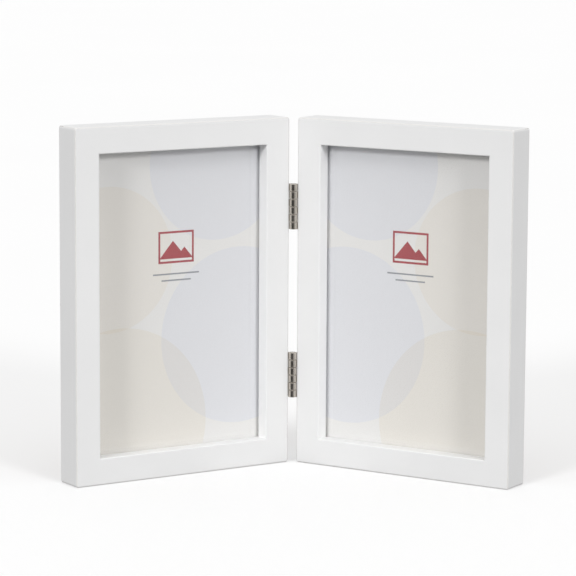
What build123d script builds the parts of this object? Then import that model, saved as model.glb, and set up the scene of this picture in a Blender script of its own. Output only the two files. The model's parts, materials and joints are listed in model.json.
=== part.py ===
from build123d import *

import os

# Driving dimensions, in millimetres and degrees

# Print that each leaf holds
photo_width = 101.6
photo_height = 152.4
photo_thickness = 0.3
photo_clearance = 0.4

# Wooden moulding: a rabbeted section, mitred at the corners
rabbet_wall = 5.95
rabbet_ledge = 6.55
front_lip = 6.75
front_arris = 0.8
corner_ease = 0.4
sight_arris = 0.6
back_arris = 0.5
mitre_overrun = 5.0

# Sheets stacked in the rabbet, from the lip backwards
glass_thickness = 2.0
filler_thickness = 3.0
board_thickness = 3.0
board_arris = 0.3
board_relief = 0.45

# V-shaped nails driven into the back of each mitre
nail_leg = 5.0
nail_thickness = 0.5
nail_height = 7.0
nail_sink = 0.2
nail_clearance = 0.05

# Turn buttons that hold the backing board, one in the middle of each side
button_thickness = 0.8
button_edge_margin = 0.55
button_nose_radius = 2.0
button_reach = 8.6
button_arris = 0.2
button_bead_length = 4.2
button_bead_width = 1.4
button_bead_height = 0.4
button_under_gap = 0.12
pivot_clearance = 0.06

# Pan-head screws that the turn buttons pivot on
turn_screw_radius = 1.1
turn_screw_length = 7.5
turn_head_radius = 1.95
turn_head_height = 1.2
turn_head_gap = 0.12

# Cross recess and point of every screw
recess_arm_width = 0.55
recess_share = 1.1
recess_depth = 0.75
screw_point_length = 1.6
pilot_clearance = 0.05

# Pair of six-knuckle butt hinges between the leaves
leaf_gap = 4.0
closed_gap = 0.6
hinge_height = 21.6
hinge_inset = 42.25
knuckle_count = 6
knuckle_gap = 0.2
knuckle_arris = 0.35
barrel_clearance = 0.3
plate_thickness = 1.0
plate_reach = 9.0
plate_corner = 1.4
seam_width = 0.22
seam_angle = 60.0
pin_clearance = 0.05
pin_arris = 0.25

# Countersunk screws of the hinge plates
hinge_screw_radius = 1.0
hinge_screw_length = 9.0
hinge_screw_head_radius = 1.95
hinge_screw_end_inset = 4.6

# Half of the angle by which the leaves stand folded forward from flat
half_fold = 32.3

# Sizes that follow from the driving dimensions
rim = photo_clearance + rabbet_wall
leaf_width = photo_width + 2 * rim
leaf_height = photo_height + 2 * rim
moulding_width = rabbet_wall + rabbet_ledge
sight_width = leaf_width - 2 * moulding_width
sight_height = leaf_height - 2 * moulding_width
rabbet_width = leaf_width - 2 * rabbet_wall
rabbet_height = leaf_height - 2 * rabbet_wall
photo_front = front_lip + glass_thickness
filler_front = photo_front + photo_thickness
board_front = filler_front + filler_thickness
leaf_depth = board_front + board_thickness + board_relief
button_front = leaf_depth + button_under_gap
turn_head_front = button_front + button_thickness + turn_head_gap
front_setback = closed_gap / 2
barrel_radius = leaf_gap / 2
bore_radius = barrel_radius - plate_thickness
pin_radius = bore_radius - pin_clearance
plate_face = leaf_gap / 2 - plate_thickness
knuckle_pitch = (hinge_height + knuckle_gap) / knuckle_count
knuckle_length = knuckle_pitch - knuckle_gap
notch_reach = barrel_radius + barrel_clearance
hinge_levels = {"lower": hinge_inset, "upper": leaf_height - hinge_inset}

# Middle of a leaf seen from the front, and its place beside the pivot axis
leaf_middle = Pos(leaf_width / 2, leaf_height / 2)
beside_pivot = Pos(leaf_gap / 2, front_setback, 0)


def sheet(outline, front, thickness):
    """Upright solid of an outline seen from the front, running back from a given depth."""
    return Pos(0, front, 0) * extrude(Plane.XZ * outline, -thickness)


def lathe(points):
    """Solid turned about Z from the points of its half section."""
    return revolve(Plane.XZ * make_face(Polyline(*points, close=True)), Axis.Z)


def group(solids):
    """Separate solids that share one node."""
    return Part() + list(solids)


# Moulding


def frame_blank():
    """Whole rabbeted surround of one leaf, with the arrises eased right round it."""
    outline = leaf_middle * RectangleRounded(leaf_width, leaf_height, front_arris + corner_ease)
    blank = sheet(outline, 0, leaf_depth)
    blank = fillet(blank.faces().sort_by(Axis.Y)[0].edges(), front_arris)
    blank = fillet(blank.faces().sort_by(Axis.Y)[-1].edges(), back_arris)
    blank -= sheet(leaf_middle * Rectangle(rabbet_width, rabbet_height), front_lip, leaf_depth)
    blank -= sheet(leaf_middle * Rectangle(sight_width, sight_height), 0, leaf_depth)
    front_face = blank.faces().sort_by(Axis.Y)[0]
    return fillet(front_face.inner_wires()[0].edges(), sight_arris)


def mitre_outlines():
    """Four-sided areas that the mitres divide a leaf into, by the name of the rail or stile."""
    reach = moulding_width + mitre_overrun
    left, right, bottom, top = 0, leaf_width, 0, leaf_height
    outer = [(left, bottom), (right, bottom), (right, top), (left, top)]
    inner = [
        (left + reach, bottom + reach),
        (right - reach, bottom + reach),
        (right - reach, top - reach),
        (left + reach, top - reach),
    ]
    names = ["bottom_rail", "outer_stile", "top_rail", "hinge_stile"]
    outlines = {}
    for side, name in enumerate(names):
        after = (side + 1) % len(names)
        corners = [outer[side], outer[after], inner[after], inner[side]]
        outlines[name] = make_face(Polyline(*corners, close=True))
    return outlines


def corner_nails(clearance, depth):
    """Angled nails in the middle of the rabbet wall, one leg on each side of every mitre."""
    near = (rabbet_wall - nail_thickness) / 2 - clearance
    far = near + nail_thickness + 2 * clearance
    end = near + nail_leg + 2 * clearance
    corners = [(near, near), (end, near), (end, far), (far, far), (far, end), (near, end)]
    angle = make_face(Polyline(*corners, close=True))
    nail = sheet(angle, leaf_depth - nail_sink - nail_height - clearance, depth)
    pair = [nail, mirror(nail, about=Plane.YZ.offset(leaf_width / 2))]
    return group(pair + [mirror(one, about=Plane.XY.offset(leaf_height / 2)) for one in pair])


# Screws


def cross_recess(head_radius):
    """Crossed slots that reach down from the top of a screw head."""
    slot = Box(recess_share * head_radius, recess_arm_width, 2 * recess_depth)
    return slot + Rot(0, 0, 90) * slot


def turn_screw():
    """Pan-head screw, pointing down from the underside of its head at the origin."""
    crown = turn_head_height / 2
    shoulder = (turn_head_radius, turn_head_height - crown)
    section = Polyline(
        (0, turn_head_height),
        (0, -turn_screw_length),
        (turn_screw_radius, screw_point_length - turn_screw_length),
        (turn_screw_radius, 0),
        (turn_head_radius, 0),
        shoulder,
    )
    dome_radius = (turn_head_radius**2 + crown**2) / (2 * crown)
    dome = RadiusArc(shoulder, (0, turn_head_height), -dome_radius)
    screw = revolve(Plane.XZ * make_face(section + dome), Axis.Z)
    return screw - Pos(0, 0, turn_head_height) * cross_recess(turn_head_radius)


def hinge_screw_body(clearance):
    """Countersunk screw with its flat head at the origin, larger all round by a clearance."""
    head = hinge_screw_head_radius + clearance
    shank = hinge_screw_radius + clearance
    tip = hinge_screw_length + clearance
    return lathe([
        (0, 0),
        (0, -tip),
        (shank, screw_point_length - tip),
        (shank, shank - head),
        (head, 0),
    ])


def hinge_screw_places():
    """Planes of the countersunk heads on the hinge plates, facing into the gap."""
    row = (notch_reach + plate_reach) / 2
    spread = hinge_height / 2 - hinge_screw_end_inset
    return [
        Plane((plate_face, row, height), x_dir=(0, 0, 1), z_dir=(-1, 0, 0))
        for height in (-spread, spread)
    ]


# Turn buttons


def button_places():
    """Pivot of each turn button on the back of the moulding, with X pointing inwards."""
    near = rabbet_wall / 2
    middle = (leaf_width / 2, leaf_height / 2)
    pivots = {
        "top": ((middle[0], leaf_height - near), (0, 0, -1)),
        "bottom": ((middle[0], near), (0, 0, 1)),
        "hinge": ((near, middle[1]), (1, 0, 0)),
        "outer": ((leaf_width - near, middle[1]), (-1, 0, 0)),
    }
    return {
        name: Plane((across, 0, up), x_dir=inwards, z_dir=(0, 1, 0))
        for name, ((across, up), inwards) in pivots.items()
    }


def turn_button():
    """Pressed strip with a round tail at its pivot, a tapering nose and a raised bead."""
    tail_radius = rabbet_wall / 2 - button_edge_margin
    ends = Circle(tail_radius) + Pos(button_reach, 0) * Circle(button_nose_radius)
    strip = extrude(make_hull(ends.edges()), button_thickness)
    strip = fillet(strip.faces().sort_by(Axis.Z)[-1].edges(), button_arris)
    bead = extrude(SlotCenterToCenter(button_bead_length, button_bead_width), button_bead_height)
    bead = fillet(bead.faces().sort_by(Axis.Z)[-1].edges(), button_arris)
    bead_middle = (turn_head_radius + button_reach + button_nose_radius) / 2
    body = strip + Pos(bead_middle, 0, button_thickness) * bead
    return body - Cylinder(turn_screw_radius + pivot_clearance, 4 * button_thickness)


# Hinges


def knuckle():
    """Rolled knuckle, from the floor up: ring with eased ends, finger to the plate, and the roll's seam."""
    wall = Pos(bore_radius, 0) * Rectangle(plate_thickness, knuckle_length, align=(Align.MIN, Align.MIN))
    wall = fillet(wall.vertices().sort_by(Axis.X)[-2:], knuckle_arris)
    ring = revolve(Plane.XZ * wall, Axis.Z)
    standing = (Align.MIN, Align.MIN, Align.MIN)
    finger_length = notch_reach - front_setback
    finger = Box(plate_thickness, finger_length, knuckle_length, align=standing)
    ring += Pos(plate_face, front_setback, 0) * finger
    seam = Box(2 * plate_thickness, seam_width, 2 * hinge_height)
    seam = Pos(barrel_radius - plate_thickness / 2, 0, 0) * seam
    return ring - Rot(0, 0, seam_angle) * seam


def hinge_plate(first_knuckle):
    """Plate for the right leaf, at mid height, with every second knuckle from the one given."""
    width = plate_reach - notch_reach
    outline = Rectangle(width, hinge_height)
    outline = fillet(outline.vertices().sort_by(Axis.X)[-2:], plate_corner)
    side_face = Plane((plate_face, notch_reach + width / 2, 0), x_dir=(0, 1, 0), z_dir=(1, 0, 0))
    plate = extrude(side_face * outline, plate_thickness)
    roll = knuckle()
    for step in range(first_knuckle, knuckle_count, 2):
        plate += Pos(0, 0, step * knuckle_pitch - hinge_height / 2) * roll
    for place in hinge_screw_places():
        plate -= place * hinge_screw_body(pilot_clearance)
    return plate


def hinge_pin():
    """Pin through all the knuckles, flush with the ends of the barrel and eased there."""
    pin = Cylinder(pin_radius, hinge_height)
    return chamfer(pin.edges().filter_by(GeomType.CIRCLE), pin_arris)


# Leaf


def leaf_pieces():
    """Every piece of the right leaf, lying flat beside the pivot axis."""
    pieces = {}
    blank = frame_blank()
    nail_slots = corner_nails(nail_clearance, 2 * leaf_depth)
    pilot = Cylinder(
        turn_screw_radius + pilot_clearance,
        turn_screw_length,
        align=(Align.CENTER, Align.CENTER, Align.MAX),
    )
    pilots = [place * Pos(0, 0, turn_head_front) * pilot for place in button_places().values()]
    for name, outline in mitre_outlines().items():
        rail = blank & sheet(outline, 0, leaf_depth)
        rail = beside_pivot * (rail - nail_slots - pilots)
        if name == "hinge_stile":
            for level in hinge_levels.values():
                for place in hinge_screw_places():
                    rail -= Pos(0, 0, level) * (place * hinge_screw_body(pilot_clearance))
        pieces[name] = rail

    print_outline = leaf_middle * Rectangle(photo_width, photo_height)
    board = sheet(print_outline, board_front, board_thickness)
    board = fillet(board.faces().sort_by(Axis.Y)[-1].edges(), board_arris)
    flat_pieces = {
        "corner_nails": corner_nails(0, nail_height),
        "glass": sheet(print_outline, front_lip, glass_thickness),
        "photo_insert": sheet(print_outline, photo_front, photo_thickness),
        "filler_card": sheet(print_outline, filler_front, filler_thickness),
        "backing_board": board,
    }
    screw = turn_screw()
    button = turn_button()
    screws = []
    for name, place in button_places().items():
        flat_pieces[f"{name}_turn_button"] = place * Pos(0, 0, button_front) * button
        screws.append(place * Pos(0, 0, turn_head_front) * screw)
    flat_pieces["turn_screws"] = group(screws)
    for name, piece in flat_pieces.items():
        pieces[name] = beside_pivot * piece

    hinge_screw = hinge_screw_body(0) - cross_recess(hinge_screw_head_radius)
    pieces["hinge_screws"] = group(
        Pos(0, 0, level) * (place * hinge_screw)
        for level in hinge_levels.values()
        for place in hinge_screw_places()
    )
    return pieces


# Assembly

leaf = leaf_pieces()
nodes = {}
for side, turn, first_knuckle in (("left", half_fold, 1), ("right", -half_fold, 0)):
    flat = {f"{side}_{name}": piece for name, piece in leaf.items()}
    plate = hinge_plate(first_knuckle)
    for level_name, level in hinge_levels.items():
        flat[f"{level_name}_hinge_{side}_plate"] = Pos(0, 0, level) * plate
    for name, piece in flat.items():
        handed = mirror(piece, about=Plane.YZ) if side == "left" else piece
        nodes[name] = Rot(0, 0, turn) * handed
for level_name, level in hinge_levels.items():
    nodes[f"{level_name}_hinge_pin"] = Pos(0, 0, level) * hinge_pin()

# The origin lies on the floor, under the middle of the standing frame
front_most = min(piece.bounding_box().min.Y for piece in nodes.values())
back_most = max(piece.bounding_box().max.Y for piece in nodes.values())
to_origin = Pos(0, -(front_most + back_most) / 2, 0)

os.makedirs("parts", exist_ok=True)
for name, piece in nodes.items():
    export_step(to_origin * piece, f"parts/{name}.step")
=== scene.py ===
import json
import math

import bpy
from mathutils import Matrix, Vector


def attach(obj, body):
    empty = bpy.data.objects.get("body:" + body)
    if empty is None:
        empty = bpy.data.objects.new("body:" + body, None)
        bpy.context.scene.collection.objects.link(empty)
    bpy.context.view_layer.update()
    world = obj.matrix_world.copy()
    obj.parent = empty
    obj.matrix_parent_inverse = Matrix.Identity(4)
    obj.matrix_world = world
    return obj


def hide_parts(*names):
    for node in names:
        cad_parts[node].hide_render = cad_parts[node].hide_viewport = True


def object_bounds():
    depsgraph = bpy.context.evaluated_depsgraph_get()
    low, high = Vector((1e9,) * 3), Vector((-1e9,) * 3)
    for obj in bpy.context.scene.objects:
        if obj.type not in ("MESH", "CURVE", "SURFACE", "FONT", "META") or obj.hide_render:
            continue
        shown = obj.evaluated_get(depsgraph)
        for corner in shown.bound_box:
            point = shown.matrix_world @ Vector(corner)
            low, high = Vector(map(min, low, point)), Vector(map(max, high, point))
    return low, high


# Two white wooden photo frames, joined by a pair of nickel butt hinges, that stand half folded.
# Metres, in the CAD model's own frame: +Z up, and the open side of the fold faces -Y.

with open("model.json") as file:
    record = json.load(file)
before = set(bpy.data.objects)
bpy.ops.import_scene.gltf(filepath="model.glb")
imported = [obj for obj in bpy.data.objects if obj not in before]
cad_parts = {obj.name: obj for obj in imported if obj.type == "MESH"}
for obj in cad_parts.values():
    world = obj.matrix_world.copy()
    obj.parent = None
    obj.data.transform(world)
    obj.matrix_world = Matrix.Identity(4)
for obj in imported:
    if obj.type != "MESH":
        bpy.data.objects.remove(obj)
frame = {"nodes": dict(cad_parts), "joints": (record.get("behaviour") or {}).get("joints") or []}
cad_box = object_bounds()
nodes = frame["nodes"]
joints = {joint["name"]: joint for joint in frame["joints"]}
mm = 0.001

# The sticks of each leaf's moulding, and the places of its turn buttons.
sides = ("left", "right")
rails = ("top_rail", "bottom_rail")
stiles = ("outer_stile", "hinge_stile")
sticks = rails + stiles
button_places = ("top", "bottom", "hinge", "outer")

# The fold, read from the joints: the pivot line of the hinges and the turn of each leaf about it.
fold_place = joints["frame_fold"]["pos_m"]
pivot = Vector((fold_place[0], fold_place[1], 0))
leaf_turn = {}
for side in sides:
    back = joints[side + "_top_turn"]["axis"]
    leaf_turn[side] = math.atan2(-back[0], back[1])

# The photograph's viewpoint, fitted to the corners of both leaves in the picture.
view_distance = 1.36016
view_elevation = math.radians(8.4489)
view_azimuth = math.radians(-0.2871)
view_roll = math.radians(0.326)
image_pixels = 576
focal_pixels = 2869.07
shift_pixels = (4.864, 2.807)
sensor_millimetres = 36.0

# Studio light, as a share of full white. The sky brightens from the horizon to the zenith and dims at its
# flanks, and a white sweep stands behind the object. A span is how far a direction points to the side, or
# to the back, where such a change starts and where it ends.
horizon_light = 0.17
zenith_light = 1.05
flank_light = 0.7
flank_span = (0.35, 0.95)
sweep_light = 0.65
sweep_span = (0.2, 0.8)

# A low softbox at each hand of the camera.
left_light = 1.3
right_light = 1.17
key_elevation = math.radians(20)
key_azimuth = math.radians(36)
key_spread = math.radians(13)

# What the object sees below the horizon: the light of the floor, and the dark end of the room behind the
# camera, which is a cone with a soft edge.
ground_light = 0.45
horizon_blend = 0.02
camera_end_light = 0.05
camera_end_azimuth = math.radians(-12)
camera_end_width = math.radians(30)
camera_end_blend = math.radians(4)

# The patch of floor inside the fold that throws light back at the feet of both leaves.
bounce_size = (70 * mm, 60 * mm)
bounce_place = (0, -15 * mm, 1 * mm)
bounce_watts = 0.0015

# The floor: its width, and the light that comes through its paper from behind.
floor_width = 16
floor_glow = 0.337

# Loose sheets: the air left round each, the ground edge of the glass and the die-cut corner of the print.
sheet_air = 0.03 * mm
glass_seam = 0.3 * mm
print_corner = 0.8 * mm

# The lacquer: half the width of a mitre's hairline on the back, set as wide as it needs to show, how far in
# from an arris the film is greyer, partly as thinner film and partly as painted shade over the arris
# highlight, how far round from a sight edge painted light whitens it, and how many times longer than wide
# the grain's lines are.
seam_half_width = 0.1 * mm
arris_wear_and_shade_width = 0.9 * mm
sight_light_width = 0.3 * mm
grain_stretch = 30

# The sample print, in mm from the middle of the sheet's face. Its grey wash is painted shade of the outer
# and top lips, darkest at the outer top corner, and pales along a slant, which rises this much to each mm
# outwards, from this far on one side of the middle to as far on the other.
shade_wash_rise = 0.6
shade_wash_reach = 90

# Discs of thin ink over the wash: how far each centre lies outwards and up, its radius and its ink.
disc_layout = (
    (30, -58, 46, "FCF9F3"),
    (-34, -20, 42, "F7F9FF"),
    (36, 20, 34, "FDFAF5"),
    (-22, 62, 36, "F7F9FF"),
)

# The heights between which painted light from the bottom lip whitens the foot of the sheet, and by how
# much.
painted_light_span = (-66, -70.5)
painted_light_share = 0.3

# The border of a small sign, and two rules below it: the height, half width, half height, half line width
# and ink of each.
sign_ink = "A03A41"
rule_ink = "8F9297"
line_layout = (
    (24, 9.0, 7.0, 0.5, sign_ink),
    (11.5, 12.0, 0, 0.35, rule_ink),
    (8.5, 7.5, 0, 0.35, rule_ink),
)

# Two hills inside the border: how far each peak lies across and up, and the slope and foot of both.
hill_layout = ((-1.7, 27.0), (4.4, 23.9))
hill_slope = 1.15
hill_foot = 18.6


def linear(hex_colour):
    """sRGB hex colour as linear RGBA."""
    channels = []
    for start in (0, 2, 4):
        value = int(hex_colour[start:start + 2], 16) / 255
        channels.append(value / 12.92 if value <= 0.04045 else ((value + 0.055) / 1.055) ** 2.4)
    return (*channels, 1.0)


def add(tree, kind, inputs, ramp=(), **settings):
    """Adds a node with its settings, its ramp's two stops and its inputs, each a value or a socket to link.

    Sockets that share a name go by number. On a mix node, 0 is the share of the second input, 2 and 3 are
    values that come out at 0, and 6 and 7 are colours that come out at 2.
    """
    node = tree.nodes.new(kind)
    for name, value in settings.items():
        setattr(node, name, value)
    for count, (place, colour) in enumerate(ramp):
        node.color_ramp.elements[count].position = place
        node.color_ramp.elements[count].color = colour
    for name, value in inputs.items():
        if isinstance(value, bpy.types.NodeSocket):
            tree.links.new(value, node.inputs[name])
        else:
            node.inputs[name].default_value = value
    return node


def empty_material(name):
    """A node material with nothing in its tree yet."""
    material = bpy.data.materials.new(name)
    material.use_nodes = True
    material.node_tree.nodes.clear()
    return material, material.node_tree


def leaf_matrix(side):
    """From a leaf's own space, hinged at the origin and facing -Y, to its place in the fold."""
    return Matrix.Translation(pivot) @ Matrix.Rotation(leaf_turn[side], 4, "Z")


def leaf_box(names, side):
    """Lowest and highest corner of some CAD nodes in their leaf's own space."""
    unfold = leaf_matrix(side).inverted()
    places = [unfold @ vertex.co for name in names for vertex in nodes[name].data.vertices]
    low = Vector([min(place[axis] for place in places) for axis in range(3)])
    high = Vector([max(place[axis] for place in places) for axis in range(3)])
    return low, high


def leaf_millimetres(tree, side, centre):
    """Object coordinates in a leaf's own plane, in mm from a centre: x along it, y through it, z up."""
    coordinates = add(tree, "ShaderNodeTexCoord", {})
    inputs = {
        "Vector": coordinates.outputs["Object"],
        "Location": centre,
        "Rotation": (0, 0, leaf_turn[side]),
        "Scale": (mm, mm, mm),
    }
    return add(tree, "ShaderNodeMapping", inputs, vector_type="TEXTURE").outputs["Vector"]


def leaf_rims(tree, side):
    """How far in from a leaf's outer faces a point lies, in mm, and whether it is in the rear quarter.

    The distances are x from the sides, y from front and back, and z from the ends.
    """
    low, high = leaf_box([side + "_" + stick for stick in sticks], side)
    place = leaf_millimetres(tree, side, leaf_matrix(side) @ ((low + high) / 2))
    folded = add(tree, "ShaderNodeVectorMath", {0: place}, operation="ABSOLUTE")
    inwards = add(
        tree,
        "ShaderNodeVectorMath",
        {0: (high - low) / (2 * mm), 1: folded.outputs["Vector"]},
        operation="SUBTRACT",
    )
    rims = add(tree, "ShaderNodeSeparateXYZ", {0: inwards.outputs["Vector"]})
    depth = add(tree, "ShaderNodeSeparateXYZ", {0: place})
    behind = add(
        tree,
        "ShaderNodeMath",
        {0: depth.outputs["Y"], 1: (high.y - low.y) / (4 * mm)},
        operation="GREATER_THAN",
    )
    return rims, behind.outputs["Value"]


def mitre_seams(tree, rims, behind):
    """The hairline where two sticks meet: 1 on it, 0 beside it. The front is filled and shows none."""
    off = add(tree, "ShaderNodeMath", {0: rims.outputs["X"], 1: rims.outputs["Z"]}, operation="SUBTRACT")
    away = add(tree, "ShaderNodeMath", {0: off.outputs["Value"]}, operation="ABSOLUTE")
    line = add(
        tree,
        "ShaderNodeMath",
        {0: away.outputs["Value"], 1: seam_half_width / mm},
        operation="LESS_THAN",
    )
    seam = add(tree, "ShaderNodeMath", {0: line.outputs["Value"], 1: behind}, operation="MULTIPLY")
    return seam.outputs["Value"]


def arris_wear_and_shade(tree, rims):
    """Where the outer arrises turn greyer, partly as thinner film and partly as painted shade over their
    highlight: 1 on the arris, 0 on the faces beside it.
    """
    arrises = []
    for first, second in (("X", "Y"), ("Y", "Z"), ("X", "Z")):
        arris = add(
            tree,
            "ShaderNodeMath",
            {0: rims.outputs[first], 1: rims.outputs[second]},
            operation="MAXIMUM",
        )
        arrises.append(arris.outputs["Value"])
    nearest = arrises[0]
    for arris in arrises[1:]:
        nearest = add(tree, "ShaderNodeMath", {0: nearest, 1: arris}, operation="MINIMUM").outputs["Value"]
    arris_wear_and_shade_mask = add(
        tree,
        "ShaderNodeMapRange",
        {"Value": nearest, "From Min": arris_wear_and_shade_width / mm, "From Max": 0.0},
        interpolation_type="SMOOTHSTEP",
    )
    return arris_wear_and_shade_mask.outputs["Result"]


def painted_light_sight_edges(tree, rims, side):
    """Where painted light whitens the upright sight edges: 1 on the edge, 0 on the faces beside it."""
    low, high = leaf_box([side + "_hinge_stile"], side)
    inmost = (high.x - low.x) / mm
    edge = add(
        tree,
        "ShaderNodeMapRange",
        {"Value": rims.outputs["X"], "From Min": inmost - sight_light_width / mm, "From Max": inmost},
        interpolation_type="SMOOTHSTEP",
    )
    upright = add(
        tree,
        "ShaderNodeMath",
        {0: rims.outputs["X"], 1: rims.outputs["Z"]},
        operation="LESS_THAN",
    )
    painted_light_mask = add(
        tree,
        "ShaderNodeMath",
        {0: edge.outputs["Result"], 1: upright.outputs["Value"]},
        operation="MULTIPLY",
    )
    return painted_light_mask.outputs["Value"]


def lacquer_film(tree, side, place):
    """The coat's white: whiter on the upright sight edges as painted light, greyer on the arrises as
    thinner film and painted shade, and open at the mitres behind.
    """
    # The film's thickness drifts, over this many mm.
    drift_length = 35
    drift = add(tree, "ShaderNodeTexNoise", {"Vector": place, "Scale": 1 / drift_length, "Detail": 3.0})
    film = add(
        tree,
        "ShaderNodeValToRGB",
        {"Fac": drift.outputs["Fac"]},
        ramp=((0.3, linear("EFEFEF")), (0.7, linear("F2F2F2"))),
    )
    rims, behind = leaf_rims(tree, side)
    # Painted light: the upright sight edges are made whiter than the rest of the film.
    sight_edges_lit = add(
        tree,
        "ShaderNodeMix",
        {0: painted_light_sight_edges(tree, rims, side), 6: film.outputs["Color"], 7: linear("F6F6F6")},
        data_type="RGBA",
    )
    # The arrises turn greyer: partly thinner film, partly painted shade that damps their highlight.
    arrises_worn_and_shaded = add(
        tree,
        "ShaderNodeMix",
        {0: arris_wear_and_shade(tree, rims), 6: sight_edges_lit.outputs[2], 7: linear("DDDBD8")},
        data_type="RGBA",
    )
    coat = add(
        tree,
        "ShaderNodeMix",
        {0: mitre_seams(tree, rims, behind), 6: arrises_worn_and_shaded.outputs[2], 7: linear("8F8B84")},
        data_type="RGBA",
    )
    return coat.outputs[2]


def white_lacquer(name, side, grain_scale):
    """Satin lacquer sprayed on planed wood: even white, a soft sheen, faint orange peel and grain."""
    material, tree = empty_material(name)
    place = leaf_millimetres(tree, side, pivot)
    # Mm between the lines of the grain, which is drawn out along the stick, and across the orange peel.
    grain_spacing = 0.9
    peel_width = 1.5
    lengthwise = add(tree, "ShaderNodeMapping", {"Vector": place, "Scale": grain_scale})
    grain = add(
        tree,
        "ShaderNodeTexNoise",
        {
            "Vector": lengthwise.outputs["Vector"],
            "Scale": 1 / grain_spacing,
            "Detail": 3.0,
            "Roughness": 0.6,
        },
    )
    peel = add(
        tree,
        "ShaderNodeTexNoise",
        {"Vector": place, "Scale": 1 / peel_width, "Detail": 2.0, "Roughness": 0.45},
    )
    sheen = add(tree, "ShaderNodeMapRange", {"Value": peel.outputs["Fac"], "To Min": 0.36, "To Max": 0.48})
    streaks = add(
        tree,
        "ShaderNodeBump",
        {"Height": grain.outputs["Fac"], "Strength": 0.3, "Distance": 0.02 * mm},
    )
    relief = add(
        tree,
        "ShaderNodeBump",
        {
            "Height": peel.outputs["Fac"],
            "Strength": 0.3,
            "Distance": 0.03 * mm,
            "Normal": streaks.outputs["Normal"],
        },
    )
    shader = add(
        tree,
        "ShaderNodeBsdfPrincipled",
        {
            "Base Color": lacquer_film(tree, side, place),
            "Roughness": sheen.outputs["Result"],
            "Normal": relief.outputs["Normal"],
        },
    )
    add(tree, "ShaderNodeOutputMaterial", {"Surface": shader.outputs["BSDF"]})
    return material


def float_glass():
    """Clear float glass: colourless through its face, with a wipe mark here and there in the polish."""
    material, tree = empty_material("float_glass")
    coordinates = add(tree, "ShaderNodeTexCoord", {})
    wipe_width = 25 * mm
    wipes = add(
        tree,
        "ShaderNodeTexNoise",
        {"Vector": coordinates.outputs["Object"], "Scale": 1 / wipe_width, "Detail": 4.0},
    )
    polish = add(
        tree,
        "ShaderNodeMapRange",
        {"Value": wipes.outputs["Fac"], "From Min": 0.5, "From Max": 0.8, "To Min": 0.0, "To Max": 0.03},
    )
    shader = add(
        tree,
        "ShaderNodeBsdfPrincipled",
        {
            "Base Color": linear("FFFFFF"),
            "Roughness": polish.outputs["Result"],
            "IOR": 1.52,
            "Transmission Weight": 1.0,
        },
    )
    add(tree, "ShaderNodeOutputMaterial", {"Surface": shader.outputs["BSDF"]})
    return material


def painted_shade_wash(tree, place, hand):
    """A thin grey wash over the whole sheet: painted shade, darkest at its outer top corner and paling away
    from it.
    """
    slant = add(tree, "ShaderNodeVectorMath", {0: place, 1: (hand, 0, shade_wash_rise)}, operation="DOT_PRODUCT")
    down = add(
        tree,
        "ShaderNodeMapRange",
        {"Value": slant.outputs["Value"], "From Min": shade_wash_reach, "From Max": -shade_wash_reach},
    )
    wash = add(
        tree,
        "ShaderNodeValToRGB",
        {"Fac": down.outputs["Result"]},
        ramp=((0.0, linear("E0DFDE")), (1.0, linear("EFEEED"))),
    )
    return wash.outputs["Color"]


def print_discs(tree, place, hand, colour):
    """Discs of thin ink, which darken what they lie over."""
    for outwards, up, radius, ink in disc_layout:
        centre = (outwards * hand, 0, up)
        away = add(tree, "ShaderNodeVectorMath", {0: place, 1: centre}, operation="DISTANCE")
        inside = add(tree, "ShaderNodeMath", {0: away.outputs["Value"], 1: radius}, operation="LESS_THAN")
        layer = add(
            tree,
            "ShaderNodeMix",
            {0: inside.outputs["Value"], 6: colour, 7: linear(ink)},
            data_type="RGBA",
            blend_type="MULTIPLY",
        )
        colour = layer.outputs[2]
    return colour


def painted_light_foot(tree, heights, colour):
    """Painted light, as if bounced off the bottom lip, whitens the foot of the sheet over its last few
    millimetres in sight.
    """
    foot = add(
        tree,
        "ShaderNodeMapRange",
        {"Value": heights, "From Min": painted_light_span[0], "From Max": painted_light_span[1], "To Max": painted_light_share},
        interpolation_type="SMOOTHSTEP",
    )
    foot_lit = add(
        tree,
        "ShaderNodeMix",
        {0: foot.outputs["Result"], 6: colour, 7: linear("FFFFFF")},
        data_type="RGBA",
    )
    return foot_lit.outputs[2]


def print_lines(tree, place, colour):
    """Line work: the outline of a box, which is a plain rule where the box has no height."""
    for up, half_width, half_height, half_line, ink in line_layout:
        offset = add(tree, "ShaderNodeVectorMath", {0: place, 1: (0, 0, up)}, operation="SUBTRACT")
        folded = add(tree, "ShaderNodeVectorMath", {0: offset.outputs["Vector"]}, operation="ABSOLUTE")
        over = add(
            tree,
            "ShaderNodeVectorMath",
            {0: folded.outputs["Vector"], 1: (half_width, 0, half_height)},
            operation="SUBTRACT",
        )
        past = add(tree, "ShaderNodeSeparateXYZ", {0: over.outputs["Vector"]})
        reach = add(
            tree,
            "ShaderNodeMath",
            {0: past.outputs["X"], 1: past.outputs["Z"]},
            operation="MAXIMUM",
        )
        edge = add(tree, "ShaderNodeMath", {0: reach.outputs["Value"]}, operation="ABSOLUTE")
        inside = add(
            tree,
            "ShaderNodeMath",
            {0: edge.outputs["Value"], 1: half_line},
            operation="LESS_THAN",
        )
        layer = add(
            tree,
            "ShaderNodeMix",
            {0: inside.outputs["Value"], 6: colour, 7: linear(ink)},
            data_type="RGBA",
        )
        colour = layer.outputs[2]
    return colour


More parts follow.
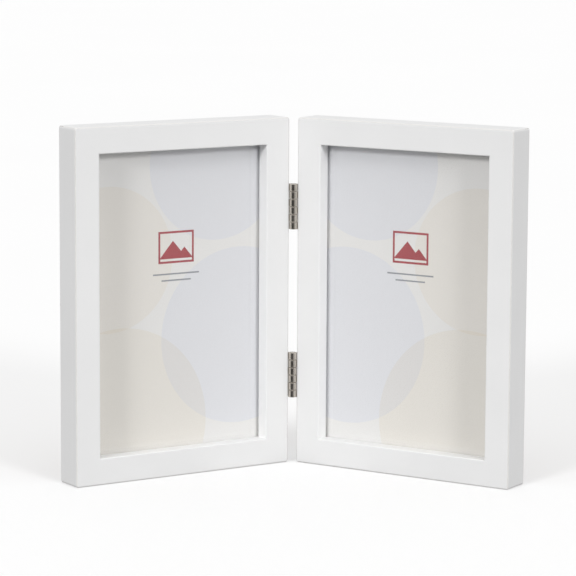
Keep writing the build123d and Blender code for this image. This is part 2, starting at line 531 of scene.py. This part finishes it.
def print_hills(tree, parts, colour):
    """The hills of the small sign: all that lies below each peak's two slopes and above the foot."""
    above = add(tree, "ShaderNodeMath", {0: parts.outputs["Z"], 1: hill_foot}, operation="GREATER_THAN")
    for across, peak in hill_layout:
        off = add(tree, "ShaderNodeMath", {0: parts.outputs["X"], 1: across}, operation="SUBTRACT")
        run = add(tree, "ShaderNodeMath", {0: off.outputs["Value"]}, operation="ABSOLUTE")
        slope = add(
            tree,
            "ShaderNodeMath",
            {0: run.outputs["Value"], 1: -hill_slope, 2: peak},
            operation="MULTIPLY_ADD",
        )
        below = add(
            tree,
            "ShaderNodeMath",
            {0: parts.outputs["Z"], 1: slope.outputs["Value"]},
            operation="LESS_THAN",
        )
        inside = add(
            tree,
            "ShaderNodeMath",
            {0: below.outputs["Value"], 1: above.outputs["Value"]},
            operation="MULTIPLY",
        )
        layer = add(
            tree,
            "ShaderNodeMix",
            {0: inside.outputs["Value"], 6: colour, 7: linear(sign_ink)},
            data_type="RGBA",
        )
        colour = layer.outputs[2]
    return colour


def printed_paper(side, middle):
    """Coated paper with a sample print: pale discs of beige and ice blue, and a small landscape sign."""
    material, tree = empty_material(side + "_coated_paper")
    place = leaf_millimetres(tree, side, middle)
    parts = add(tree, "ShaderNodeSeparateXYZ", {0: place})
    # The two sheets are a mirrored pair.
    hand = -1 if side == "left" else 1
    # The wash darkens the sheet towards its outer top corner with painted shade.
    colour = painted_shade_wash(tree, place, hand)
    colour = print_discs(tree, place, hand, colour)
    # Painted light whitens the sheet's foot, as if bounced off the bottom lip.
    colour = painted_light_foot(tree, parts.outputs["Z"], colour)
    colour = print_lines(tree, place, colour)
    colour = print_hills(tree, parts, colour)
    # Fibres and coating show as a mottle, this many mm across.
    mottle_width = 0.7
    mottle = add(tree, "ShaderNodeTexNoise", {"Vector": place, "Scale": 1 / mottle_width, "Detail": 3.0})
    toned = add(
        tree,
        "ShaderNodeMix",
        {0: mottle.outputs["Fac"], 6: colour, 7: linear("F4F4F2")},
        data_type="RGBA",
        blend_type="MULTIPLY",
    )
    gloss = add(
        tree,
        "ShaderNodeMapRange",
        {"Value": mottle.outputs["Fac"], "To Min": 0.42, "To Max": 0.56},
    )
    relief = add(
        tree,
        "ShaderNodeBump",
        {"Height": mottle.outputs["Fac"], "Strength": 0.2, "Distance": 0.01 * mm},
    )
    shader = add(
        tree,
        "ShaderNodeBsdfPrincipled",
        {
            "Base Color": toned.outputs[2],
            "Roughness": gloss.outputs["Result"],
            "Specular IOR Level": 0.35,
            "Normal": relief.outputs["Normal"],
        },
    )
    add(tree, "ShaderNodeOutputMaterial", {"Surface": shader.outputs["BSDF"]})
    return material


def plated_metal(name, pale, dark, smooth, rough, patch_width):
    """Plated or drawn steel: a bright skin with cloudy patches and fine handling marks."""
    material, tree = empty_material(name)
    coordinates = add(tree, "ShaderNodeTexCoord", {})
    cloud = add(
        tree,
        "ShaderNodeTexNoise",
        {
            "Vector": coordinates.outputs["Object"],
            "Scale": 1 / patch_width,
            "Detail": 4.0,
            "Roughness": 0.6,
        },
    )
    skin = add(
        tree,
        "ShaderNodeValToRGB",
        {"Fac": cloud.outputs["Fac"]},
        ramp=((0.32, linear(dark)), (0.68, linear(pale))),
    )
    # Handling marks: thin lines that cross the piece on a slant.
    mark_spacing = 0.15 * mm
    slant = add(
        tree,
        "ShaderNodeMapping",
        {"Vector": coordinates.outputs["Object"], "Rotation": (0.5, 0.3, 0.7), "Scale": (1, 0.04, 0.3)},
    )
    marks = add(
        tree,
        "ShaderNodeTexNoise",
        {"Vector": slant.outputs["Vector"], "Scale": 1 / mark_spacing, "Detail": 2.0},
    )
    finish = add(
        tree,
        "ShaderNodeMapRange",
        {
            "Value": cloud.outputs["Fac"],
            "From Min": 0.3,
            "From Max": 0.7,
            "To Min": smooth,
            "To Max": rough,
        },
    )
    relief = add(
        tree,
        "ShaderNodeBump",
        {"Height": marks.outputs["Fac"], "Strength": 0.08, "Distance": 0.01 * mm},
    )
    shader = add(
        tree,
        "ShaderNodeBsdfPrincipled",
        {
            "Base Color": skin.outputs["Color"],
            "Metallic": 1.0,
            "Roughness": finish.outputs["Result"],
            "Normal": relief.outputs["Normal"],
        },
    )
    add(tree, "ShaderNodeOutputMaterial", {"Surface": shader.outputs["BSDF"]})
    return material


def hardboard(side):
    """Hardboard: brown pressed wood fibre, dense and slightly waxy, with pale and dark strands."""
    material, tree = empty_material(side + "_hardboard")
    place = leaf_millimetres(tree, side, pivot)
    # Mm between the tangles of strands, which are bent every way, and between the dark specks of bark.
    tangle_spacing = 2.2
    speck_spacing = 3.5
    strands = add(
        tree,
        "ShaderNodeTexNoise",
        {
            "Vector": place,
            "Scale": 1 / tangle_spacing,
            "Detail": 6.0,
            "Roughness": 0.7,
            "Distortion": 2.4,
        },
    )
    specks = add(
        tree,
        "ShaderNodeTexVoronoi",
        {"Vector": place, "Scale": 1 / speck_spacing, "Randomness": 1.0},
    )
    body = add(
        tree,
        "ShaderNodeValToRGB",
        {"Fac": strands.outputs["Fac"]},
        ramp=((0.36, linear("6B482C")), (0.64, linear("A97E5B"))),
    )
    dots = add(
        tree,
        "ShaderNodeValToRGB",
        {"Fac": specks.outputs["Distance"]},
        ramp=((0.08, linear("A39184")), (0.22, linear("FFFFFF"))),
    )
    mixed = add(
        tree,
        "ShaderNodeMix",
        {0: 1.0, 6: body.outputs["Color"], 7: dots.outputs["Color"]},
        data_type="RGBA",
        blend_type="MULTIPLY",
    )
    wax = add(tree, "ShaderNodeMapRange", {"Value": strands.outputs["Fac"], "To Min": 0.5, "To Max": 0.75})
    relief = add(
        tree,
        "ShaderNodeBump",
        {"Height": strands.outputs["Fac"], "Strength": 0.35, "Distance": 0.08 * mm},
    )
    shader = add(
        tree,
        "ShaderNodeBsdfPrincipled",
        {
            "Base Color": mixed.outputs[2],
            "Roughness": wax.outputs["Result"],
            "Normal": relief.outputs["Normal"],
        },
    )
    add(tree, "ShaderNodeOutputMaterial", {"Surface": shader.outputs["BSDF"]})
    return material


def kraft_card(side):
    """Corrugated kraft card: tan liner paper, with its flutes showing as faint bands and loose fibres."""
    material, tree = empty_material(side + "_kraft_card")
    place = leaf_millimetres(tree, side, pivot)
    # Mm between the flutes and across the fibres. A wave texture repeats every 2 pi / (wave_rate x scale).
    flute_spacing = 6.4
    fibre_width = 1.2
    wave_rate = 20
    flutes = add(
        tree,
        "ShaderNodeTexWave",
        {
            "Vector": place,
            "Scale": 2 * math.pi / (wave_rate * flute_spacing),
            "Distortion": 0.4,
            "Detail Scale": 0.5,
        },
        bands_direction="X",
    )
    fibres = add(
        tree,
        "ShaderNodeTexNoise",
        {"Vector": place, "Scale": 1 / fibre_width, "Detail": 5.0, "Roughness": 0.65, "Distortion": 1.2},
    )
    paper = add(
        tree,
        "ShaderNodeValToRGB",
        {"Fac": fibres.outputs["Fac"]},
        ramp=((0.3, linear("A57C4E")), (0.7, linear("C49B6A"))),
    )
    relief = add(
        tree,
        "ShaderNodeBump",
        {"Height": flutes.outputs["Fac"], "Strength": 0.3, "Distance": 0.1 * mm},
    )
    matt = add(tree, "ShaderNodeMapRange", {"Value": fibres.outputs["Fac"], "To Min": 0.75, "To Max": 0.9})
    shader = add(
        tree,
        "ShaderNodeBsdfPrincipled",
        {
            "Base Color": paper.outputs["Color"],
            "Roughness": matt.outputs["Result"],
            "Normal": relief.outputs["Normal"],
        },
    )
    add(tree, "ShaderNodeOutputMaterial", {"Surface": shader.outputs["BSDF"]})
    return material


def floor_paper():
    """Matt white backdrop paper, very nearly even, and lit in part from behind, which thins its shadows."""
    material, tree = empty_material("backdrop_paper")
    coordinates = add(tree, "ShaderNodeTexCoord", {})
    drifts_per_metre = 3.0
    tone = add(
        tree,
        "ShaderNodeTexNoise",
        {"Vector": coordinates.outputs["Object"], "Scale": drifts_per_metre, "Detail": 2.0},
    )
    sheet = add(
        tree,
        "ShaderNodeValToRGB",
        {"Fac": tone.outputs["Fac"]},
        ramp=((0.3, linear("D3D3D3")), (0.7, linear("D4D4D4"))),
    )
    shader = add(
        tree,
        "ShaderNodeBsdfPrincipled",
        {
            "Base Color": sheet.outputs["Color"],
            "Roughness": 0.9,
            "Specular IOR Level": 0.2,
            "Emission Color": linear("FFFFFF"),
            "Emission Strength": floor_glow,
        },
    )
    add(tree, "ShaderNodeOutputMaterial", {"Surface": shader.outputs["BSDF"]})
    return material


def sheet_box(node, side):
    """The corners of a loose sheet in its leaf's own space: its CAD node, less the air left round it."""
    low, high = leaf_box([node], side)
    air = Vector((sheet_air, sheet_air, sheet_air))
    return low + air, high - air


def sheet_blank(name, low, high):
    """A cut sheet between two corners of a leaf's own space, left in edit mode with all of it selected."""
    bpy.ops.object.select_all(action="DESELECT")
    bpy.ops.mesh.primitive_cube_add(size=1, location=(low + high) / 2, scale=high - low)
    piece = bpy.context.object
    piece.name = name
    bpy.ops.object.transform_apply(location=True, rotation=True, scale=True)
    bpy.ops.object.mode_set(mode="EDIT")
    bpy.ops.mesh.select_all(action="SELECT")
    return piece


def fold_in(piece, side, body, node, material):
    """Turns a piece from its leaf's own space into the fold and lets it stand for a CAD node."""
    bpy.ops.object.mode_set(mode="OBJECT")
    piece.matrix_world = leaf_matrix(side)
    bpy.ops.object.transform_apply(location=True, rotation=True, scale=True)
    piece.data.materials.clear()
    piece.data.materials.append(material)
    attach(piece, body)
    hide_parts(node)


def glass_pane(side, material):
    """Cut glass with its sharp edges ground off."""
    node = side + "_glass"
    low, high = sheet_box(node, side)
    pane = sheet_blank(side + "_glazing", low, high)
    bpy.ops.mesh.bevel(offset=glass_seam, segments=2, affect="EDGES")
    fold_in(pane, side, side + "_frame", node, material)
    # Light reaches the print straight through the pane.
    pane.visible_diffuse = False
    pane.visible_shadow = False


def sample_print(side):
    """The loose paper print, with its corners rounded by the die and its face just behind the glass."""
    node = side + "_photo_insert"
    low, high = sheet_box(node, side)
    middle = leaf_matrix(side) @ Vector(((low.x + high.x) / 2, low.y, (low.z + high.z) / 2))
    paper = sheet_blank(side + "_print", low, high)
    bpy.ops.mesh.select_all(action="DESELECT")
    bpy.ops.object.mode_set(mode="OBJECT")
    # The die rounds the four edges that run through the sheet.
    for edge in paper.data.edges:
        ends = [paper.data.vertices[index].co for index in edge.vertices]
        edge.select = abs(ends[0].x - ends[1].x) < sheet_air and abs(ends[0].z - ends[1].z) < sheet_air
    bpy.ops.object.mode_set(mode="EDIT")
    bpy.ops.mesh.bevel(offset=print_corner, segments=4, affect="EDGES")
    fold_in(paper, side, side + "_frame", node, printed_paper(side, middle))


def dress(node, material):
    """Gives a CAD node its finish."""
    for place in nodes[node].material_slots:
        place.material = material


def studio_walls(tree, parts):
    """Light by direction above the horizon: the sky with its dimmer flanks, and the sweep at the back."""
    height = add(
        tree,
        "ShaderNodeMapRange",
        {"Value": parts.outputs["Z"], "To Min": horizon_light, "To Max": zenith_light},
    )
    sideways = add(tree, "ShaderNodeMath", {0: parts.outputs["X"]}, operation="ABSOLUTE")
    flanks = add(
        tree,
        "ShaderNodeMapRange",
        {
            "Value": sideways.outputs["Value"],
            "From Min": flank_span[0],
            "From Max": flank_span[1],
            "To Min": 1.0,
            "To Max": flank_light,
        },
        interpolation_type="SMOOTHSTEP",
    )
    sky = add(
        tree,
        "ShaderNodeMath",
        {0: height.outputs["Result"], 1: flanks.outputs["Result"]},
        operation="MULTIPLY",
    )
    sweep = add(
        tree,
        "ShaderNodeMapRange",
        {
            "Value": parts.outputs["Y"],
            "From Min": sweep_span[0],
            "From Max": sweep_span[1],
            "To Max": sweep_light,
        },
        interpolation_type="SMOOTHSTEP",
    )
    walls = add(
        tree,
        "ShaderNodeMath",
        {0: sky.outputs["Value"], 1: sweep.outputs["Result"]},
        operation="MAXIMUM",
    )
    return walls.outputs["Value"]


def camera_end(tree, direction):
    """The dark end of the room: 1 in a cone about the line of sight as an upright barrel mirrors it."""
    end_line = (
        math.sin(camera_end_azimuth) * math.cos(view_elevation),
        -math.cos(camera_end_azimuth) * math.cos(view_elevation),
        -math.sin(view_elevation),
    )
    toward = add(tree, "ShaderNodeVectorMath", {0: direction, 1: end_line}, operation="DOT_PRODUCT")
    cone = add(
        tree,
        "ShaderNodeMapRange",
        {
            "Value": toward.outputs["Value"],
            "From Min": math.cos(camera_end_width + camera_end_blend),
            "From Max": math.cos(camera_end_width - camera_end_blend),
        },
        interpolation_type="SMOOTHSTEP",
    )
    return cone.outputs["Result"]


def studio_world():
    """The room round the object: its walls, the ground below the horizon and the dark end."""
    world = bpy.data.worlds.new("studio")
    bpy.context.scene.world = world
    world.use_nodes = True
    tree = world.node_tree
    tree.nodes.clear()
    coordinates = add(tree, "ShaderNodeTexCoord", {})
    direction = coordinates.outputs["Generated"]
    parts = add(tree, "ShaderNodeSeparateXYZ", {0: direction})
    below = add(
        tree,
        "ShaderNodeMapRange",
        {"Value": parts.outputs["Z"], "From Min": horizon_blend, "From Max": -horizon_blend},
        interpolation_type="SMOOTHSTEP",
    )
    room = add(
        tree,
        "ShaderNodeMix",
        {0: below.outputs["Result"], 2: studio_walls(tree, parts), 3: ground_light},
    )
    level = add(
        tree,
        "ShaderNodeMix",
        {0: camera_end(tree, direction), 2: room.outputs[0], 3: camera_end_light},
    )
    back = add(tree, "ShaderNodeBackground", {"Color": linear("FFFFFF"), "Strength": level.outputs[0]})
    add(tree, "ShaderNodeOutputWorld", {"Surface": back.outputs["Background"]})


def softboxes():
    """A low softbox at each hand of the camera, which shades the pieces but doesn't show in their gloss."""
    for hand, azimuth, light in (("left", -key_azimuth, left_light), ("right", key_azimuth, right_light)):
        key = bpy.data.lights.new(hand + "_softbox", "SUN")
        key.energy = light
        key.angle = key_spread
        lamp = bpy.data.objects.new(hand + "_softbox", key)
        bpy.context.scene.collection.objects.link(lamp)
        lamp.rotation_euler = (math.pi / 2 - key_elevation, 0, azimuth)
        lamp.visible_glossy = False


def floor_bounce():
    """The glow of the pale floor inside the fold, which lifts the feet of both leaves."""
    glow = bpy.data.lights.new("floor_bounce", "AREA")
    glow.shape = "RECTANGLE"
    glow.size = bounce_size[0]
    glow.size_y = bounce_size[1]
    glow.energy = bounce_watts
    lamp = bpy.data.objects.new("floor_bounce", glow)
    bpy.context.scene.collection.objects.link(lamp)
    lamp.location = bounce_place
    # A lamp shines down until it is turned over.
    lamp.rotation_euler = (math.pi, 0, 0)
    lamp.visible_camera = False
    lamp.visible_glossy = False


def studio_floor():
    """A pale floor that runs on past the view; the object is lit by the studio's own ground instead."""
    bpy.ops.object.select_all(action="DESELECT")
    bpy.ops.mesh.primitive_plane_add(size=floor_width)
    floor = bpy.context.object
    floor.name = "studio_floor"
    floor.data.materials.append(floor_paper())
    floor.visible_glossy = False
    floor.visible_diffuse = False


def photo_camera():
    """The camera at the photograph's place, with its small roll and off-centre frame."""
    turn = Matrix.Rotation(view_azimuth, 3, "Z")
    along = turn @ Vector((0, math.cos(view_elevation), -math.sin(view_elevation)))
    level = turn @ Vector((1, 0, 0))
    upright = level.cross(along)
    right = level * math.cos(view_roll) + upright * math.sin(view_roll)
    up = right.cross(along)
    target = Vector((pivot.x, pivot.y, (cad_box[0].z + cad_box[1].z) / 2))
    lens = bpy.data.cameras.new("photo_camera")
    lens.sensor_width = sensor_millimetres
    lens.lens = focal_pixels / image_pixels * sensor_millimetres
    lens.shift_x = -shift_pixels[0] / image_pixels
    lens.shift_y = shift_pixels[1] / image_pixels
    camera = bpy.data.objects.new("photo_camera", lens)
    bpy.context.scene.collection.objects.link(camera)
    place = Matrix((right, up, -along)).transposed().to_4x4()
    place.translation = target - along * view_distance
    camera.matrix_world = place
    bpy.context.scene.camera = camera


photo_camera()
studio_world()
softboxes()
floor_bounce()
studio_floor()
bpy.context.scene.view_settings.view_transform = "Standard"

nickel = plated_metal("bright_nickel_plate", "DDD6CD", "CBC4BA", 0.16, 0.26, 6 * mm)
zinc = plated_metal("zinc_plate", "D6D8D9", "BDC1C4", 0.28, 0.42, 3 * mm)
steel = plated_metal("drawn_steel_wire", "8E8E8C", "6F6F6E", 0.35, 0.5, 2 * mm)
glass = float_glass()

for side in sides:
    rail_lacquer = white_lacquer(side + "_rail_lacquer", side, (1 / grain_stretch, 1, 1))
    stile_lacquer = white_lacquer(side + "_stile_lacquer", side, (1, 1, 1 / grain_stretch))
    for rail in rails:
        dress(side + "_" + rail, rail_lacquer)
    for stile in stiles:
        dress(side + "_" + stile, stile_lacquer)
    for button in button_places:
        dress(side + "_" + button + "_turn_button", zinc)
    dress(side + "_turn_screws", zinc)
    dress(side + "_hinge_screws", nickel)
    dress(side + "_corner_nails", steel)
    dress(side + "_backing_board", hardboard(side))
    dress(side + "_filler_card", kraft_card(side))
    glass_pane(side, glass)
    sample_print(side)

for hinge in ("upper_hinge", "lower_hinge"):
    for part in ("left_plate", "right_plate", "pin"):
        dress(hinge + "_" + part, nickel)
